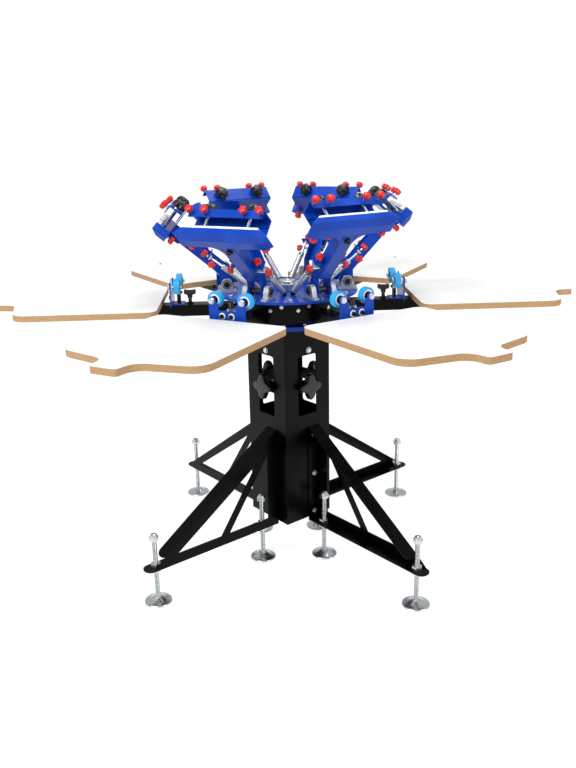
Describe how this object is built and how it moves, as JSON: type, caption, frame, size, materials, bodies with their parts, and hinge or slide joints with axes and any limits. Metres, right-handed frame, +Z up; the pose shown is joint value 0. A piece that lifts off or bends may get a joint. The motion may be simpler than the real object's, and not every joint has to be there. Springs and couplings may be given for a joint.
{
  "type": "screen printing press",
  "caption": "Floor-standing carousel screen printing press: braced column, turning platens with roller gates, and sprung swing-up screen heads.",
  "frame": {"origin": "on the floor under the column's axis", "axes": "+Z up the column; legs along X and Y; the first platen and head stand 23 degrees from +X towards +Y"},
  "size_m": [1.797, 1.9174, 1.2825],
  "materials": {
    "blue_paint": "gloss royal blue enamel",
    "black_steel": "satin black powder coat",
    "zinc": "zinc plated steel",
    "black_plastic": "matt black plastic",
    "red_plastic": "red plastic knobs and zinc plated screws",
    "platen_board": "white laminate over fibreboard",
    "roller_tyre": "cyan plastic tyre, white ring and steel hub",
    "spring_steel": "bright spring steel",
    "cast_silver": "silver painted cast housing"
  },
  "bodies": {
    "base": {"column_shell": "blue_paint", "column_cap": "blue_paint", "column_knobs": "black_plastic", "column_bolts": "zinc", "spindle": "zinc", "leg_1": "blue_paint", "leg_2": "blue_paint", "leg_3": "blue_paint", "leg_4": "blue_paint", "foot_rods": "zinc", "foot_pads": "zinc"},
    "platen_carousel": {"platen_hub": "black_steel", "platen_arms": "black_steel", "platen_knobs": "black_plastic", "gate_brackets": "blue_paint", "gate_fasteners": "zinc"},
    "head_carousel": {"head_disc": "blue_paint", "pillow_blocks": "cast_silver", "spring_anchors": "black_steel", "springs": "spring_steel"},
    "platen_1": {"platen_1": "platen_board"},
    "roller_left_1": {"roller_left_1": "roller_tyre"},
    "roller_right_1": {"roller_right_1": "roller_tyre"},
    "platen_2": {"platen_2": "platen_board"},
    "roller_left_2": {"roller_left_2": "roller_tyre"},
    "roller_right_2": {"roller_right_2": "roller_tyre"},
    "platen_3": {"platen_3": "platen_board"},
    "roller_left_3": {"roller_left_3": "roller_tyre"},
    "roller_right_3": {"roller_right_3": "roller_tyre"},
    "platen_4": {"platen_4": "platen_board"},
    "roller_left_4": {"roller_left_4": "roller_tyre"},
    "roller_right_4": {"roller_right_4": "roller_tyre"},
    "platen_5": {"platen_5": "platen_board"},
    "roller_left_5": {"roller_left_5": "roller_tyre"},
    "roller_right_5": {"roller_right_5": "roller_tyre"},
    "platen_6": {"platen_6": "platen_board"},
    "roller_left_6": {"roller_left_6": "roller_tyre"},
    "roller_right_6": {"roller_right_6": "roller_tyre"},
    "head_1": {"head_arm_1": "blue_paint", "head_fittings_1": "red_plastic"},
    "clamp_1": {"clamp_1": "blue_paint"},
    "head_2": {"head_arm_2": "blue_paint", "head_fittings_2": "red_plastic"},
    "clamp_2": {"clamp_2": "blue_paint"},
    "head_3": {"head_arm_3": "blue_paint", "head_fittings_3": "red_plastic"},
    "clamp_3": {"clamp_3": "blue_paint"},
    "head_4": {"head_arm_4": "blue_paint", "head_fittings_4": "red_plastic"},
    "clamp_4": {"clamp_4": "blue_paint"},
    "head_5": {"head_arm_5": "blue_paint", "head_fittings_5": "red_plastic"},
    "clamp_5": {"clamp_5": "blue_paint"},
    "head_6": {"head_arm_6": "blue_paint", "head_fittings_6": "red_plastic"},
    "clamp_6": {"clamp_6": "blue_paint"}
  },
  "joints": [
    {"name": "platen_turn", "type": "hinge", "parent": "base", "child": "platen_carousel", "pos_m": [0, 0, 0.91], "axis": [0, 0, 1], "continuous": true},
    {"name": "head_turn", "type": "hinge", "parent": "base", "child": "head_carousel", "pos_m": [0, 0, 0.946], "axis": [0, 0, 1], "continuous": true},
    {"name": "platen_slide_1", "type": "slide", "parent": "platen_carousel", "child": "platen_1", "axis": [0.9205, 0.3907, 0], "range_m": [-0.02, 0.12]},
    {"name": "roller_spin_left_1", "type": "hinge", "parent": "platen_carousel", "child": "roller_left_1", "pos_m": [0.35538, 0.09436, 0.978], "axis": [0.9205, 0.3907, 0], "continuous": true},
    {"name": "roller_spin_right_1", "type": "hinge", "parent": "platen_carousel", "child": "roller_right_1", "pos_m": [0.31475, 0.19009, 0.978], "axis": [0.9205, 0.3907, 0], "continuous": true},
    {"name": "platen_slide_2", "type": "slide", "parent": "platen_carousel", "child": "platen_2", "axis": [0.1219, 0.9925, 0], "range_m": [-0.02, 0.12]},
    {"name": "roller_spin_left_2", "type": "hinge", "parent": "platen_carousel", "child": "roller_left_2", "pos_m": [0.09597, 0.35495, 0.978], "axis": [0.1219, 0.9925, 0], "continuous": true},
    {"name": "roller_spin_right_2", "type": "hinge", "parent": "platen_carousel", "child": "roller_right_2", "pos_m": [-0.00725, 0.36762, 0.978], "axis": [0.1219, 0.9925, 0], "continuous": true},
    {"name": "platen_slide_3", "type": "slide", "parent": "platen_carousel", "child": "platen_3", "axis": [-0.7986, 0.6018, 0], "range_m": [-0.02, 0.12]},
    {"name": "roller_spin_left_3", "type": "hinge", "parent": "platen_carousel", "child": "roller_left_3", "pos_m": [-0.25941, 0.26059, 0.978], "axis": [-0.7986, 0.6018, 0], "continuous": true},
    {"name": "roller_spin_right_3", "type": "hinge", "parent": "platen_carousel", "child": "roller_right_3", "pos_m": [-0.322, 0.17753, 0.978], "axis": [-0.7986, 0.6018, 0], "continuous": true},
    {"name": "platen_slide_4", "type": "slide", "parent": "platen_carousel", "child": "platen_4", "axis": [-0.9205, -0.3907, 0], "range_m": [-0.02, 0.12]},
    {"name": "roller_spin_left_4", "type": "hinge", "parent": "platen_carousel", "child": "roller_left_4", "pos_m": [-0.35538, -0.09436, 0.978], "axis": [-0.9205, -0.3907, 0], "continuous": true},
    {"name": "roller_spin_right_4", "type": "hinge", "parent": "platen_carousel", "child": "roller_right_4", "pos_m": [-0.31475, -0.19009, 0.978], "axis": [-0.9205, -0.3907, 0], "continuous": true},
    {"name": "platen_slide_5", "type": "slide", "parent": "platen_carousel", "child": "platen_5", "axis": [-0.1219, -0.9925, 0], "range_m": [-0.02, 0.12]},
    {"name": "roller_spin_left_5", "type": "hinge", "parent": "platen_carousel", "child": "roller_left_5", "pos_m": [-0.09597, -0.35495, 0.978], "axis": [-0.1219, -0.9925, 0], "continuous": true},
    {"name": "roller_spin_right_5", "type": "hinge", "parent": "platen_carousel", "child": "roller_right_5", "pos_m": [0.00725, -0.36762, 0.978], "axis": [-0.1219, -0.9925, 0], "continuous": true},
    {"name": "platen_slide_6", "type": "slide", "parent": "platen_carousel", "child": "platen_6", "axis": [0.7986, -0.6018, 0], "range_m": [-0.02, 0.12]},
    {"name": "roller_spin_left_6", "type": "hinge", "parent": "platen_carousel", "child": "roller_left_6", "pos_m": [0.25941, -0.26059, 0.978], "axis": [0.7986, -0.6018, 0], "continuous": true},
    {"name": "roller_spin_right_6", "type": "hinge", "parent": "platen_carousel", "child": "roller_right_6", "pos_m": [0.322, -0.17753, 0.978], "axis": [0.7986, -0.6018, 0], "continuous": true},
    {"name": "head_swing_1", "type": "hinge", "parent": "head_carousel", "child": "head_1", "pos_m": [0.1841, 0.07815, 0.978], "axis": [-0.3907, 0.9205, 0], "range_deg": [0, 51], "deforming": ["springs"]},
    {"name": "clamp_slide_1", "type": "slide", "parent": "head_1", "child": "clamp_1", "axis": [-0.6841, -0.2904, 0.6691], "range_m": [-0.018, 0.006]},
    {"name": "head_swing_2", "type": "hinge", "parent": "head_carousel", "child": "head_2", "pos_m": [0.02437, 0.19851, 0.978], "axis": [-0.9925, 0.1219, 0], "range_deg": [0, 51]},
    {"name": "clamp_slide_2", "type": "slide", "parent": "head_2", "child": "clamp_2", "axis": [-0.0906, -0.7376, 0.6691], "range_m": [-0.018, 0.006]},
    {"name": "head_swing_3", "type": "hinge", "parent": "head_carousel", "child": "head_3", "pos_m": [-0.15973, 0.12036, 0.978], "axis": [-0.6018, -0.7986, 0], "range_deg": [0, 43]},
    {"name": "clamp_slide_3", "type": "slide", "parent": "head_3", "child": "clamp_3", "axis": [0.5134, -0.3868, 0.766], "range_m": [-0.018, 0.006]},
    {"name": "head_swing_4", "type": "hinge", "parent": "head_carousel", "child": "head_4", "pos_m": [-0.1841, -0.07815, 0.978], "axis": [0.3907, -0.9205, 0], "range_deg": [0, 43]},
    {"name": "clamp_slide_4", "type": "slide", "parent": "head_4", "child": "clamp_4", "axis": [0.5917, 0.2512, 0.766], "range_m": [-0.018, 0.006]},
    {"name": "head_swing_5", "type": "hinge", "parent": "head_carousel", "child": "head_5", "pos_m": [-0.02437, -0.19851, 0.978], "axis": [0.9925, -0.1219, 0], "range_deg": [0, 51]},
    {"name": "clamp_slide_5", "type": "slide", "parent": "head_5", "child": "clamp_5", "axis": [0.0906, 0.7376, 0.6691], "range_m": [-0.018, 0.006]},
    {"name": "head_swing_6", "type": "hinge", "parent": "head_carousel", "child": "head_6", "pos_m": [0.15973, -0.12036, 0.978], "axis": [0.6018, 0.7986, 0], "range_deg": [0, 51]},
    {"name": "clamp_slide_6", "type": "slide", "parent": "head_6", "child": "clamp_6", "axis": [-0.5935, 0.4472, 0.6691], "range_m": [-0.018, 0.006]}
  ]
}
